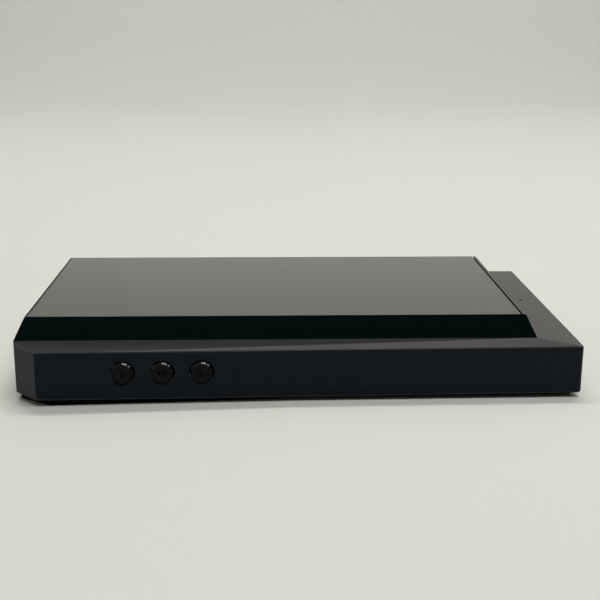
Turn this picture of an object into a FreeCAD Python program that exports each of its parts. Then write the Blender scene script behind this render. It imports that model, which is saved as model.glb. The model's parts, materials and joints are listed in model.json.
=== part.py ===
import FreeCAD, Part
import math
import os

Vector = FreeCAD.Vector

# Pocket digital music player, lying on its back with the screen up.
# Millimetres. X runs along the player, Y away from the wall with the round buttons, Z up.
# The origin is under the centre of the body, on the surface that it rests on.

# Overall size
overall_length = 108.3
overall_depth = 63.5
overall_height = 15.9
side_lean = 2.1              # how far each long wall drifts along its length, against the display
wall = 1.6
end_corner_radius = 0.7
rim_edge_break = 0.1         # where the walls meet the ledges

# Heights
cover_thickness = 1.15
cover_adhesive = 0.15
floor_thickness = 1.2
block_height = 4.15          # display block, from its foot to the glass
ledge_rise = 1.15            # from the side walls up to the foot of the display block
deck_thickness = 1.2         # metal left under the rim
foot_chamfer = 0.3

# Display block
bevel_run = 1.95             # how far the block's sides lean out towards their foot
near_ledge = 4.4             # ledge beside the block, at the cut corner
far_ledge = 4.6              # ledge beside the block, at its widest
end_strip = 8.6              # sloping strip between the block and the right end
corner_cut = 4.6             # cut corner, measured along the near wall
glass_thickness = 0.8
glass_end_bar = 0.85         # bezel bar beyond the right end of the glass
glass_joint = 0.3
glass_edge_break = 0.1

# Rear cover outline, as distances in from the body's outline
cover_inset_start = 0.7
cover_inset_middle = 1.9
cover_inset_end = 2.9
cover_start = 7.0            # stations along the body, from its left end
cover_step_start = 44.0
cover_step_end = 55.0
cover_end_inset = 1.2
cover_edge_break = 0.25
cover_film_inset = 0.8

# Transport buttons, in the near wall
first_button = 20.8          # from the left end
button_pitch = 7.4
button_count = 3
button_drop = 2.9            # centres below the deck
button_radius = 2.05
button_gap = 0.28
button_stand_out = 0.2
button_edge_break = 0.25
button_travel = 0.35
flange_clearance = 0.05
flange_thickness = 0.6
flange_margin = 0.75
symbol_depth = 0.12
symbol_size = 1.3
symbol_stroke = 0.28
chevron_reach = 0.585
play_length = 0.78           # triangle of the play symbol
play_half_height = 0.52
symbol_tip = 0.05
bar_width = 0.224            # two bars beside the triangle
bar_pitch = 0.42
bar_start = 0.15

# Power button, in the left end
power_from_near = 17.75
power_length = 8.6
power_height = 2.6
power_gap = 0.2

# Switches and their boards
plunger_radius = 0.7
plunger_length = 0.4
switch_size = 3.0
switch_thickness = 1.2
small_board_thickness = 0.8
bracket_thickness = 0.5
bracket_foot = 0.6
bracket_wall_gap = 0.15
plunger_gap = 0.03           # left in front of a plunger when its button is pressed home
board_margin = 5.8           # button board beyond the outer buttons
button_board_tail = 4.8      # extra length of the board where its ribbon leaves
board_headroom = 0.4         # under the deck
button_ribbon_width = 4.0
button_ribbon_gap = 0.5
button_plug_offset = 1.2     # from the bracket to the plug
button_plug_depth = 2.0
plate_margin = 0.5           # power switch bracket beyond the switch
plate_headroom = 0.3
plate_foot = 1.5

# Volume wheel, in the far wall
wheel_from_left = 21.2
wheel_radius = 6.5
wheel_stand_out = 1.3
wheel_headroom = 0.5         # between the wheel and the board, and the wheel and the deck
wheel_gap = 0.4
wheel_flutes = 44
flute_depth = 0.28
flute_land = 0.55            # share of each flute's pitch that stays round
wheel_web = 2.6
wheel_edge_break = 0.5
wheel_edge_lift = 0.45
shaft_cover = 0.5            # metal over the shaft
shaft_end_gap = 0.4
encoder_floor = 0.3
shaft_radius = 1.0
shaft_clearance = 0.05
encoder_radius = 3.5
encoder_gap = 0.5            # under the wheel's web
hub_clearance = 0.7

# Jacks, in the left end
jack_headroom = 0.2          # under the deck
jack_y = -1.5
jack_bore_radius = 1.8
jack_sleeve_radius = 2.6
jack_body_width = 6.2
jack_body_length = 12.0
balanced_y = 9.0
balanced_bore_radius = 2.25
balanced_sleeve_radius = 2.75
balanced_body_width = 7.4
balanced_body_length = 17.5
sleeve_length = 3.0
sleeve_clearance = 0.05
sleeve_recess = 0.05
jack_end_wall = 0.5
contact_width = 1.2
contact_thickness = 0.25
contact_length = 3.0
contact_cover = 0.1          # plastic between a contact and the bore
contact_from_end = 4.5

# Main board, measured from the body's left end and near side
board_gap = 0.3
board_thickness = 0.8
board_clearance = 0.4        # to the inside of the walls
main_board_right = 39.65
main_board_near = 6.55
boss_radius = 1.5
screw_from_left = 5.35
screw_from_near = 9.15
screw_from_far = 9.25
screw_from_board_end = 1.6
middle_screw_from_near = 28.75

# Parts on the main board, measured the same way
shield_from_left = 30.15
shield_from_near = 18.75
shield_size = 15.0
shield_height = 2.0
shield_sheet = 0.25
processor_size = 12.0
processor_height = 1.1
flash_from_left = 30.55
flash_from_near = 33.25
flash_length = 11.5
flash_depth = 12.0
flash_height = 1.0
dac_from_left = 11.55
dac_from_near = 12.25
dac_pitch = 7.0
dac_size = 6.0
dac_height = 0.9
amplifier_from_left = 18.95
amplifier_y = -6.6
amplifier_pitch = 5.6
amplifier_size = 5.0
amplifier_height = 0.8
capacitor_from_left = 18.15
capacitor_from_near = 8.55
capacitor_pitch = 3.0
capacitor_count = 4
capacitor_length = 3.2
capacitor_depth = 1.8
capacitor_height = 1.9
crystal_from_left = 22.85
crystal_from_far = 18.35
crystal_pitch = 3.2
crystal_length = 3.2
crystal_depth = 2.5
crystal_height = 0.9
plug_height = 1.0
display_plug_y = 12.2
display_plug_length = 8.0
display_plug_depth = 2.6
display_plug_from_end = 6.0  # from the board's right end
battery_plug_from_end = 3.0
battery_plug_length = 4.0
battery_plug_depth = 4.0
battery_plug_height = 1.4
link_plug_from_end = 3.5
link_plug_length = 5.0
link_from_near = 8.95
link_width = 3.0
link_landing = 3.5           # ribbon on the port board

# Screws
screw_radius = 0.6
screw_head_radius = 1.1
screw_head_height = 0.5
screw_head_round = 0.2
screw_recess_radius = 0.45
screw_recess_depth = 0.3
screw_clearance = 0.1
screw_bite = 0.85            # depth of thread in the floor
bracket_screw_gap = 0.35     # between a bracket screw's head and the wall

# Battery
battery_left = 42.15         # from the left end
battery_side_gap = 1.25      # to the deck's window
battery_end_gap = 1.7        # to the deck's window, at the right
battery_pad = 1.65
battery_round = 1.2
tape_thickness = 0.2
tape_inset = 2.0
pad_inset = 6.0
lead_from_battery_edge = 2.0
lead_width = 3.0
lead_thickness = 0.6

# Board with the port and the card slot, at the right end
usb_board_length = 14.15
usb_board_from_near = 5.75
usb_board_from_far = 9.75
usb_board_gap = 1.1
usb_screw_from_far = 2.5
usb_screw_from_near = 2.0
usb_screw_from_board_end = 3.1
usb_screw_from_wall = 3.0
port_y = 12.0
port_width = 8.94
port_height = 3.26
port_length = 7.25
port_wall = 0.3
port_clearance = 0.17
port_recess = 0.05
tongue_width = 6.7
tongue_thickness = 0.7
tongue_length = 5.5
card_from_near = 17.75
card_body_width = 14.2
card_body_length = 13.8
card_body_height = 1.5
card_slot_width = 11.4
card_slot_height = 0.85
card_back_wall = 0.8
card_mouth_margin = 0.25

# Status light
light_from_right = 4.7
light_y = 2.6
light_radius = 0.4
light_clearance = 0.02
light_recess = 0.35           # the pipe ends below the strip, in its own pinhole
light_flange_radius = 0.9
light_flange_thickness = 0.5
led_length = 1.6
led_width = 0.8
led_height = 0.7
led_gap = 0.2

# Display stack
bezel_bar_end = 4.9          # bezel beside the display's ends, under the glass
bezel_bar_side = 1.6         # bezel beside the display's long sides
panel_end_margin = 1.75      # from the bezel's opening
panel_side_margin = 0.4
window_end_margin = 1.0      # from the bezel's opening to the deck's window
window_side_margin = 1.45
carrier_thickness = 0.5
carrier_clearance = 0.2
backlight_thickness = 0.9
panel_thickness = 1.0
touch_thickness = 0.2
film_thickness = 0.2
bezel_film_inset = 1.0
bezel_film_width = 1.4
glass_film_inset = 0.6
glass_film_width = 0.9
ribbon_thickness = 0.15
ribbon_width = 20.0
ribbon_drop = 0.55           # from the display block's foot down to the ribbon's run
ribbon_window_gap = 0.2
ribbon_tab = 4.0             # overlap of the ribbon's cross piece
ribbon_cross = 2.0
notch_margin = 0.5
notch_reach = 2.0

# Aerial strip, in a pocket under the bezel's right end
antenna_width = 3.6
antenna_length = 24.0
antenna_thickness = 0.6
antenna_wall = 0.5           # bezel left between the strip and the display opening
antenna_clearance = 0.2

# Tool overlap, so that a cut runs through its face, and how far apart two equal places may read
over = 1.0
same_place = 0.0001

# Derived places
left = -overall_length / 2
right = overall_length / 2
near = -overall_depth / 2
far = overall_depth / 2
slope = side_lean / (overall_length - corner_cut)
lean_degrees = math.degrees(math.atan(slope))
wall_bottom = cover_thickness + cover_adhesive
floor_top = wall_bottom + floor_thickness
foot_height = overall_height - block_height
rim_height = foot_height - ledge_rise
deck_under = rim_height - deck_thickness
block_length = overall_length - end_strip
block_depth = overall_depth - near_ledge - far_ledge
block_near = near + near_ledge
block_far = far - far_ledge
block_right = right - end_strip
glass_length = block_length - 2 * bevel_run
glass_depth = block_depth - 2 * bevel_run
screen_x = left + block_length / 2
screen_y = block_near + block_depth / 2
glass_bottom = overall_height - glass_thickness
joint_x = block_right - bevel_run - glass_end_bar
inner_left = left + wall
inner_right = right - wall

opening_length = glass_length - 2 * bezel_bar_end
opening_depth = glass_depth - 2 * bezel_bar_side
panel_length = opening_length - 2 * panel_end_margin
panel_depth = opening_depth - 2 * panel_side_margin
carrier_length = opening_length - 2 * carrier_clearance
carrier_depth = opening_depth - 2 * carrier_clearance
window_length = opening_length - 2 * window_end_margin
window_depth = opening_depth - 2 * window_side_margin

board_bottom = floor_top + board_gap
board_top = board_bottom + board_thickness
board_right = left + main_board_right
plug_top = board_top + plug_height
jack_height = deck_under - jack_headroom - board_top
jack_z = board_top + jack_height / 2

bracket_screw_inwards = wall + screw_head_radius + bracket_screw_gap
switch_front = wall + flange_clearance + flange_thickness + button_travel + plunger_gap
button_board_front = switch_front + plunger_length + switch_thickness
bracket_front = button_board_front + small_board_thickness
bracket_back = bracket_front + bracket_thickness
power_switch_front = inner_left + switch_front - wall

wheel_x = left + wheel_from_left
wheel_bottom = board_top + wheel_headroom
wheel_top = deck_under - wheel_headroom
web_bottom = wheel_top - wheel_web
encoder_top = web_bottom - encoder_gap

button_height = deck_under - button_drop
power_y = near + power_from_near

battery_x = left + battery_left
battery_right = screen_x + window_length / 2 - battery_end_gap
battery_near = screen_y - window_depth / 2 + battery_side_gap
battery_far = screen_y + window_depth / 2 - battery_side_gap
battery_bottom = floor_top + tape_thickness
battery_top = foot_height - battery_pad
lead_y = battery_far - lead_from_battery_edge

usb_board_top = floor_top + usb_board_gap + board_thickness
usb_board_left = inner_right - usb_board_length
usb_board_right = inner_right - board_clearance
usb_board_near = near + usb_board_from_near
usb_board_far = far - usb_board_from_far
port_z = usb_board_top + port_height / 2
card_y = near + card_from_near
card_z = usb_board_top + card_body_height / 2
link_plug_x = board_right - link_plug_from_end
link_plug_y = near + link_from_near
link_top = usb_board_top + plug_height
light_x = right - light_from_right
strip_bottom = rim_height - over


def near_y(x):
    """Outer face of the near wall at a place along the body."""
    return near + slope * (x - left - corner_cut)


def far_y(x):
    """Outer face of the far wall at a place along the body."""
    return far - slope * (right - x)


far_corner_cut = far_y(left) - block_far
body_outline = [
    Vector(left + corner_cut, near, 0),
    Vector(right, near_y(right), 0),
    Vector(right, far, 0),
    Vector(left + far_corner_cut, far_y(left + far_corner_cut), 0),
    Vector(left, block_far, 0),
    Vector(left, block_near, 0),
]


def box(x0, x1, y0, y1, z0, z1):
    """Block between two corners."""
    return Part.makeBox(x1 - x0, y1 - y0, z1 - z0, Vector(x0, y0, z0))


def centred_box(x, y, length, depth, z0, z1):
    """Block centred over a point of the plan."""
    return box(x - length / 2, x + length / 2, y - depth / 2, y + depth / 2, z0, z1)


def prism(points, z0, z1):
    """Upright solid over a polygon."""
    base = [Vector(p.x, p.y, z0) for p in points]
    face = Part.Face(Part.makePolygon(base + [base[0]]))
    return face.extrude(Vector(0, 0, z1 - z0))


def rod(radius, start, direction, length):
    """Round bar from a point along a direction."""
    return Part.makeCylinder(radius, length, start, direction)


def upright(radius, x, y, z0, z1):
    """Vertical round bar."""
    return rod(radius, Vector(x, y, z0), Vector(0, 0, 1), z1 - z0)


def inset(points, distance):
    """Convex outline moved inwards by a distance."""
    moved = []
    count = len(points)
    for i in range(count):
        before = points[i - 1]
        here = points[i]
        after = points[(i + 1) % count]
        first = (here - before).normalize()
        second = (after - here).normalize()
        first_in = Vector(-first.y, first.x, 0)
        second_in = Vector(-second.y, second.x, 0)
        bisector = first_in + second_in
        moved.append(here + bisector * (distance / (1 + first_in.dot(second_in))))
    return moved


def upright_edges(shape, xs=None):
    """Vertical edges of a solid, at given places along X if any are named."""
    edges = []
    for edge in shape.Edges:
        first, last = edge.Vertexes[0].Point, edge.Vertexes[-1].Point
        if abs(first.x - last.x) < same_place and abs(first.y - last.y) < same_place:
            if xs is None or any(abs(first.x - x) < same_place for x in xs):
                edges.append(edge)
    return edges


def level_edges(shape, z):
    """Edges that lie at one height."""
    found = []
    for edge in shape.Edges:
        if all(abs(v.Point.z - z) < same_place for v in edge.Vertexes):
            found.append(edge)
    return found


def rounded_box(x0, x1, y0, y1, z0, z1, radius):
    """Block with rounded vertical edges."""
    block = box(x0, x1, y0, y1, z0, z1)
    return block.makeFillet(radius, upright_edges(block))


def slot_along_x(x0, x1, y, z, width, height):
    """Bar along X whose section is a slot with round ends."""
    radius = height / 2
    reach = width / 2 - radius
    bar = box(x0, x1, y - reach, y + reach, z - radius, z + radius)
    for side in (-1, 1):
        end = rod(radius, Vector(x0, y + side * reach, z), Vector(1, 0, 0), x1 - x0)
        bar = bar.fuse(end)
    return bar.removeSplitter()


def at_near_wall(shape):
    """From wall coordinates (along, inwards, up) to the near wall."""
    turned = shape.copy()
    turned.rotate(Vector(0, 0, 0), Vector(0, 0, 1), lean_degrees)
    turned.translate(Vector(left + corner_cut, near, 0))
    return turned


def near_along(distance_from_left):
    """Place along the near wall of a point given from the body's left end."""
    return (distance_from_left - corner_cut) / math.cos(math.radians(lean_degrees))


bracket_left = near_along(first_button) - board_margin
bracket_right = near_along(first_button) + 2 * button_pitch + board_margin
button_ribbon_right = bracket_left - button_ribbon_gap
button_ribbon_left = button_ribbon_right - button_ribbon_width
wheel_y = far_y(wheel_x) + wheel_stand_out - wheel_radius


def solid_from_faces(outlines):
    """Closed solid from flat faces given by their corners."""
    faces = [Part.Face(Part.makePolygon(points + [points[0]])) for points in outlines]
    solid = Part.makeSolid(Part.makeShell(faces))
    if solid.Volume < 0:
        solid.reverse()
    return solid


def write(shape, name):
    """Save one piece, or one group of like pieces, under its own name."""
    if isinstance(shape, list):
        shape = Part.makeCompound(shape)
    shape.exportStep("parts/" + name + ".step")


def rim_break(start, end):
    """Tool that breaks the edge between a wall and its ledge."""
    along = (end - start).normalize()
    up = Vector(0, 0, 1)
    outwards = along.cross(up)
    corner = start - along * over - up * rim_edge_break
    low, high, back = outwards - up, outwards + up, up - outwards
    points = [corner + step * over for step in (low, high, back)]
    face = Part.Face(Part.makePolygon(points + [points[0]]))
    return face.extrude(end - start + along * (2 * over))


def body_block():
    """Outside of the housing: upright walls under sloping ledges that meet along two creases."""
    low = [Vector(p.x, p.y, wall_bottom) for p in body_outline]
    rim = [Vector(p.x, p.y, rim_height) for p in body_outline[:4]]
    foot_near_left = Vector(left, block_near, foot_height)
    foot_near_right = Vector(block_right, block_near, foot_height)
    foot_far_right = Vector(block_right, block_far, foot_height)
    foot_far_left = Vector(left, block_far, foot_height)
    near_left, near_right, far_right, far_left = rim
    outlines = [
        list(reversed(low)),
        [low[0], low[1], near_right, near_left],
        [low[1], low[2], far_right, near_right],
        [low[2], low[3], far_left, far_right],
        [low[3], low[4], foot_far_left, far_left],
        [low[4], low[5], foot_near_left, foot_far_left],
        [low[5], low[0], near_left, foot_near_left],
        [foot_near_left, near_left, foot_near_right],
        [near_left, near_right, foot_near_right],
        [near_right, far_right, foot_far_right, foot_near_right],
        [far_right, foot_far_left, foot_far_right],
        [far_right, far_left, foot_far_left],
        [foot_near_left, foot_near_right, foot_far_right, foot_far_left],
    ]
    block = solid_from_faces(outlines)
    walls = prism(body_outline, wall_bottom, foot_height + over)
    walls = walls.makeFillet(end_corner_radius, upright_edges(walls, [right]))
    walls = walls.makeChamfer(foot_chamfer, level_edges(walls, wall_bottom))
    block = block.common(walls)
    for start, end in zip(rim, rim[1:]):
        block = block.cut(rim_break(start, end))
    return block


def board_screw_places():
    """Centres of the main board's screws."""
    return [
        (left + screw_from_left, near + screw_from_near),
        (left + screw_from_left, far - screw_from_far),
        (board_right - screw_from_board_end, near + middle_screw_from_near),
        (board_right - screw_from_board_end, far - screw_from_far),
    ]


def usb_screw_places():
    """Centres of the port board's screws."""
    return [
        (usb_board_left + usb_screw_from_board_end, usb_board_far - usb_screw_from_far),
        (inner_right - usb_screw_from_wall, usb_board_near + usb_screw_from_near),
    ]


def bracket_screw_places():
    """Screws of the button bracket, along the near wall, halfway between buttons."""
    return [near_along(first_button) + (i + 0.5) * button_pitch for i in range(button_count - 1)]


def boss(x, y, top):
    """Screw boss on the floor."""
    return upright(boss_radius, x, y, floor_top - floor_thickness / 2, top)


def make_housing():
    """Milled body: walls, floor, deck with its window, and every hole through them."""
    body = body_block()
    cavity = prism(inset(body_outline, wall), floor_top, deck_under)
    window = centred_box(screen_x, screen_y, window_length, window_depth,
                         deck_under - over, foot_height + over)
    body = body.cut(cavity).cut(window)
    usb_boss_top = floor_top + usb_board_gap
    for x, y in board_screw_places():
        body = body.fuse(boss(x, y, board_bottom))
    for x, y in usb_screw_places():
        body = body.fuse(boss(x, y, usb_boss_top))
    for x, y in board_screw_places() + usb_screw_places():
        body = body.cut(upright(screw_radius, x, y, floor_top - screw_bite, usb_boss_top))
    for along in bracket_screw_places():
        hole = upright(screw_radius, along, bracket_screw_inwards, floor_top - screw_bite, floor_top + over)
        body = body.cut(at_near_wall(hole))
    for i in range(button_count):
        along = near_along(first_button) + i * button_pitch
        hole = rod(button_radius + button_gap, Vector(along, -over, button_height), Vector(0, 1, 0),
                   wall + 2 * over)
        body = body.cut(at_near_wall(hole))
    body = body.cut(slot_along_x(left - over, inner_left + over, power_y, jack_z,
                                 power_length + 2 * power_gap, power_height + 2 * power_gap))
    for y, radius in ((jack_y, jack_sleeve_radius), (balanced_y, balanced_sleeve_radius)):
        body = body.cut(rod(radius + sleeve_clearance, Vector(left - over, y, jack_z), Vector(1, 0, 0),
                            wall + 2 * over))
    mouth = upright(wheel_radius + wheel_gap, wheel_x, wheel_y, wheel_bottom - wheel_gap,
                    wheel_top + wheel_gap)
    body = body.cut(mouth)
    body = body.cut(slot_along_x(inner_right - over, right + over, port_y, port_z,
                                 port_width + 2 * port_clearance, port_height + 2 * port_clearance))
    body = body.cut(slot_along_x(inner_right - over, right + over, card_y, card_z,
                                 card_slot_width + 2 * card_mouth_margin,
                                 card_slot_height + 2 * card_mouth_margin))
    light_hole = upright(light_radius + light_clearance, light_x, light_y, deck_under - over, foot_height)
    return body.cut(light_hole)


def cover_points(extra):
    """Outline of the rear cover, with a further inset."""
    near_insets = [
        (left + cover_start, cover_inset_start),
        (left + cover_step_start, cover_inset_middle),
        (left + cover_step_end, cover_inset_end),
        (right - cover_end_inset, cover_inset_end),
    ]
    points = [Vector(x, near_y(x) + d, 0) for x, d in near_insets]
    points += [
        Vector(right - cover_end_inset, far_y(right - cover_end_inset) - cover_inset_middle, 0),
        Vector(left + cover_start, far_y(left + cover_start) - cover_inset_middle, 0),
        Vector(left + cover_inset_start, block_far - cover_inset_start, 0),
        Vector(left + cover_inset_start, block_near + cover_inset_start, 0),
    ]
    return inset(points, extra) if extra > 0 else points


def make_rear_cover():
    """Panel that the player rests on."""
    panel = prism(cover_points(0), 0, cover_thickness)
    return panel.makeChamfer(cover_edge_break, level_edges(panel, 0))


def display_block():
    """Outside of the display block, with all four sides leaning in."""
    lower = [Vector(screen_x + sx * block_length / 2, screen_y + sy * block_depth / 2, foot_height)
             for sx, sy in ((-1, -1), (1, -1), (1, 1), (-1, 1))]
    upper = [Vector(screen_x + sx * glass_length / 2, screen_y + sy * glass_depth / 2, overall_height)
             for sx, sy in ((-1, -1), (1, -1), (1, 1), (-1, 1))]
    outlines = [list(reversed(lower)), upper]
    for i in range(4):
        j = (i + 1) % 4
        outlines.append([lower[i], lower[j], upper[j], upper[i]])
    return solid_from_faces(outlines)


def ring(x0, x1, y0, y1, width, z0, z1):
    """Flat rectangular ring."""
    outer = box(x0, x1, y0, y1, z0, z1)
    return outer.cut(box(x0 + width, x1 - width, y0 + width, y1 - width, z0 - over, z1 + over))


def antenna_block(margin):
    """Space of the aerial strip under the right end of the bezel."""
    middle = screen_x + opening_length / 2 + antenna_wall + antenna_width / 2
    return centred_box(middle, screen_y, antenna_width + 2 * margin, antenna_length + 2 * margin,
                       foot_height, foot_height + antenna_thickness + margin)


def bezel_film():
    """Bonding ring under the bezel."""
    return ring(left + bezel_film_inset, block_right - bezel_film_inset,
                block_near + bezel_film_inset, block_far - bezel_film_inset,
                bezel_film_width, foot_height, foot_height + film_thickness)


def glass_film():
    """Bonding ring under the glass."""
    glass_left = left + bevel_run
    return ring(glass_left + glass_film_inset, joint_x - glass_film_inset,
                block_near + bevel_run + glass_film_inset, block_far - bevel_run - glass_film_inset,
                glass_film_width, glass_bottom - film_thickness, glass_bottom)


def make_bezel():
    """Frame with steep sides; its right-hand bar ends beside the glass."""
    block = display_block()
    opening = centred_box(screen_x, screen_y, opening_length, opening_depth,
                          foot_height - over, overall_height + over)
    above_shoulder = box(left - over, joint_x + glass_joint, near, far, glass_bottom, overall_height + over)
    frame = block.cut(opening).cut(above_shoulder)
    return frame.cut(bezel_film()).cut(glass_film()).cut(antenna_block(antenna_clearance))


def make_glass():
    """Cover glass with a fine edge break all round its face."""
    block = display_block()
    glass = block.common(box(left - over, joint_x, near, far, glass_bottom, overall_height + over))
    return glass.makeChamfer(glass_edge_break, level_edges(glass, overall_height))


def make_display_stack():
    """Layers under the glass, from the touch sensor down to the steel carrier."""
    carrier_top = foot_height + carrier_thickness
    touch_bottom = glass_bottom - touch_thickness
    panel_bottom = touch_bottom - panel_thickness
    backlight_bottom = panel_bottom - backlight_thickness
    carrier = centred_box(screen_x, screen_y, carrier_length, carrier_depth, foot_height, carrier_top)
    ribbon_x = screen_x - window_length / 2 + ribbon_window_gap
    ribbon_half = ribbon_width / 2
    notch = box(ribbon_x - notch_reach, ribbon_x + notch_margin, screen_y - ribbon_half - notch_margin,
                screen_y + ribbon_half + notch_margin, foot_height - over, carrier_top + over)
    write(carrier.cut(notch), "display_carrier")
    write(centred_box(screen_x, screen_y, panel_length, panel_depth, carrier_top, backlight_bottom),
          "display_cushion")
    write(centred_box(screen_x, screen_y, panel_length, panel_depth, backlight_bottom, panel_bottom),
          "backlight")
    write(centred_box(screen_x, screen_y, panel_length, panel_depth, panel_bottom, touch_bottom),
          "display_panel")
    write(centred_box(screen_x, screen_y, carrier_length, carrier_depth, touch_bottom, glass_bottom),
          "touch_sensor")
    # The ribbon leaves the panel's left end, drops through the carrier's notch and runs to the board.
    panel_left = screen_x - panel_length / 2
    run_z = foot_height - ribbon_drop
    run_top = run_z + ribbon_thickness
    run_end = board_right - display_plug_from_end
    tab_z = panel_bottom + panel_thickness / 2
    tab_top = tab_z + ribbon_thickness
    y0, y1 = screen_y - ribbon_half, screen_y + ribbon_half
    plug_near = display_plug_y - display_plug_depth / 2
    plug_far = display_plug_y + display_plug_depth / 2
    ribbon = box(ribbon_x, panel_left, y0, y1, tab_z, tab_top)
    ribbon = ribbon.fuse(box(ribbon_x, ribbon_x + ribbon_thickness, y0, y1, run_z, tab_top))
    ribbon = ribbon.fuse(box(ribbon_x, run_end, y0, y1, run_z, run_top))
    ribbon = ribbon.fuse(box(run_end - ribbon_thickness, run_end, plug_near, plug_far, plug_top, run_top))
    ribbon = ribbon.fuse(box(run_end - ribbon_cross, run_end, y1 - ribbon_tab, plug_far, run_z, run_top))
    write(ribbon.removeSplitter(), "display_flex")


def chevron(direction, along, depth_front):
    """Arrow-shaped groove for a button's face, pointing along the wall."""
    half = symbol_size / 2
    reach = chevron_reach * direction
    outline = [
        Vector(along + reach / 2, 0, button_height),
        Vector(along - reach / 2, 0, button_height + half),
        Vector(along - reach / 2 - direction * symbol_stroke, 0, button_height + half),
        Vector(along + reach / 2 - direction * symbol_stroke, 0, button_height),
        Vector(along - reach / 2 - direction * symbol_stroke, 0, button_height - half),
        Vector(along - reach / 2, 0, button_height - half),
    ]
    points = [Vector(p.x, depth_front, p.z) for p in outline]
    face = Part.Face(Part.makePolygon(points + [points[0]]))
    return face.extrude(Vector(0, symbol_depth * 2, 0))


def play_symbol(along, depth_front):
    """Small triangle with two bars beside it."""
    tip = along - symbol_tip
    points = [
        Vector(tip, depth_front, button_height),
        Vector(tip - play_length, depth_front, button_height + play_half_height),
        Vector(tip - play_length, depth_front, button_height - play_half_height),
    ]
    face = Part.Face(Part.makePolygon(points + [points[0]]))
    tools = [face.extrude(Vector(0, symbol_depth * 2, 0))]
    for i in range(2):
        x0 = along + bar_start + i * bar_pitch
        tools.append(box(x0, x0 + bar_width, depth_front, depth_front + symbol_depth * 2,
                         button_height - play_half_height, button_height + play_half_height))
    return tools


def make_transport_buttons():
    """Three round caps, each held in its hole by a flange behind the wall."""
    front = -button_stand_out
    names = ["previous_button", "play_button", "next_button"]
    for i, name in enumerate(names):
        along = near_along(first_button) + i * button_pitch
        cap = rod(button_radius, Vector(along, front, button_height), Vector(0, 1, 0),
                  button_stand_out + wall + flange_clearance)
        front_edges = [e for e in cap.Edges if len(e.Vertexes) == 1
                       and abs(e.Vertexes[0].Point.y - front) < same_place]
        cap = cap.makeChamfer(button_edge_break, front_edges)
        flange = rod(button_radius + flange_margin, Vector(along, wall + flange_clearance, button_height),
                     Vector(0, 1, 0), flange_thickness)
        button = cap.fuse(flange).removeSplitter()
        groove_front = front - symbol_depth
        if i == 0:
            tools = [chevron(-1, along, groove_front)]
        elif i == 1:
            tools = play_symbol(along, groove_front)
        else:
            tools = [chevron(1, along, groove_front)]
        for tool in tools:
            button = button.cut(tool)
        write(at_near_wall(button), name)


def make_button_board():
    """Board, switches, bracket and ribbon behind the round buttons."""
    switches = []
    for i in range(button_count):
        along = near_along(first_button) + i * button_pitch
        half = switch_size / 2
        body = box(along - half, along + half, switch_front + plunger_length, button_board_front,
                   button_height - half, button_height + half)
        plunger = rod(plunger_radius, Vector(along, switch_front, button_height), Vector(0, 1, 0),
                      plunger_length)
        switches.append(at_near_wall(body.fuse(plunger)))
    write(switches, "transport_switches")
    board_left = bracket_left - button_board_tail
    board_low = floor_top + bracket_foot
    board_high = deck_under - board_headroom
    board = box(board_left, bracket_right, button_board_front, bracket_front, board_low, board_high)
    write(at_near_wall(board), "button_board")
    upright_plate = box(bracket_left, bracket_right, bracket_front, bracket_back, floor_top, board_high)
    foot = box(bracket_left, bracket_right, wall + bracket_wall_gap, bracket_front, floor_top,
               floor_top + bracket_foot)
    bracket = upright_plate.fuse(foot).removeSplitter()
    screws = []
    for along in bracket_screw_places():
        bracket = bracket.cut(upright(screw_radius + screw_clearance, along, bracket_screw_inwards,
                                      floor_top - over, floor_top + bracket_foot + over))
        screws.append(at_near_wall(make_screw(along, bracket_screw_inwards, floor_top + bracket_foot)))
    write(at_near_wall(bracket), "button_bracket")
    write(screws, "bracket_screws")
    ribbon = box(button_ribbon_left, button_ribbon_right, bracket_front, bracket_front + ribbon_thickness,
                 plug_top, button_height)
    plug_back = bracket_back + button_plug_offset + button_plug_depth
    ribbon = ribbon.fuse(box(button_ribbon_left, button_ribbon_right, bracket_front, plug_back, plug_top,
                             plug_top + ribbon_thickness))
    write(at_near_wall(ribbon.removeSplitter()), "button_flex")


def make_screw(x, y, seat):
    """Pan-head screw that bites into the floor."""
    top = seat + screw_head_height
    head = upright(screw_head_radius, x, y, seat, top)
    rims = [e for e in level_edges(head, top) if len(e.Vertexes) == 1]
    head = head.makeFillet(screw_head_round, rims)
    recess = upright(screw_recess_radius, x, y, top - screw_recess_depth, top + over)
    shank = upright(screw_radius, x, y, floor_top - screw_bite, seat)
    return head.cut(recess).fuse(shank)


def make_power_button():
    """Flush bar button in the left end, its switch and the switch's bracket."""
    flange_front = inner_left + flange_clearance
    cap = slot_along_x(left, flange_front, power_y, jack_z, power_length, power_height)
    flange = slot_along_x(flange_front, flange_front + flange_thickness, power_y, jack_z,
                          power_length + 2 * flange_margin, power_height + 2 * flange_margin)
    write(cap.fuse(flange).removeSplitter(), "power_button")
    half = switch_size / 2
    body_left = power_switch_front + plunger_length
    body_right = body_left + switch_thickness
    body = box(body_left, body_right, power_y - half, power_y + half, jack_z - half, jack_z + half)
    plunger = rod(plunger_radius, Vector(power_switch_front, power_y, jack_z), Vector(1, 0, 0),
                  plunger_length)
    write(body.fuse(plunger), "power_switch")
    plate_right = body_right + bracket_thickness
    plate_half = half + plate_margin
    plate = box(body_right, plate_right, power_y - plate_half, power_y + plate_half, board_top,
                jack_z + half + plate_headroom)
    foot = box(plate_right, plate_right + plate_foot, power_y - plate_half, power_y + plate_half, board_top,
               board_top + bracket_thickness)
    write(plate.fuse(foot).removeSplitter(), "power_switch_bracket")


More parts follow.
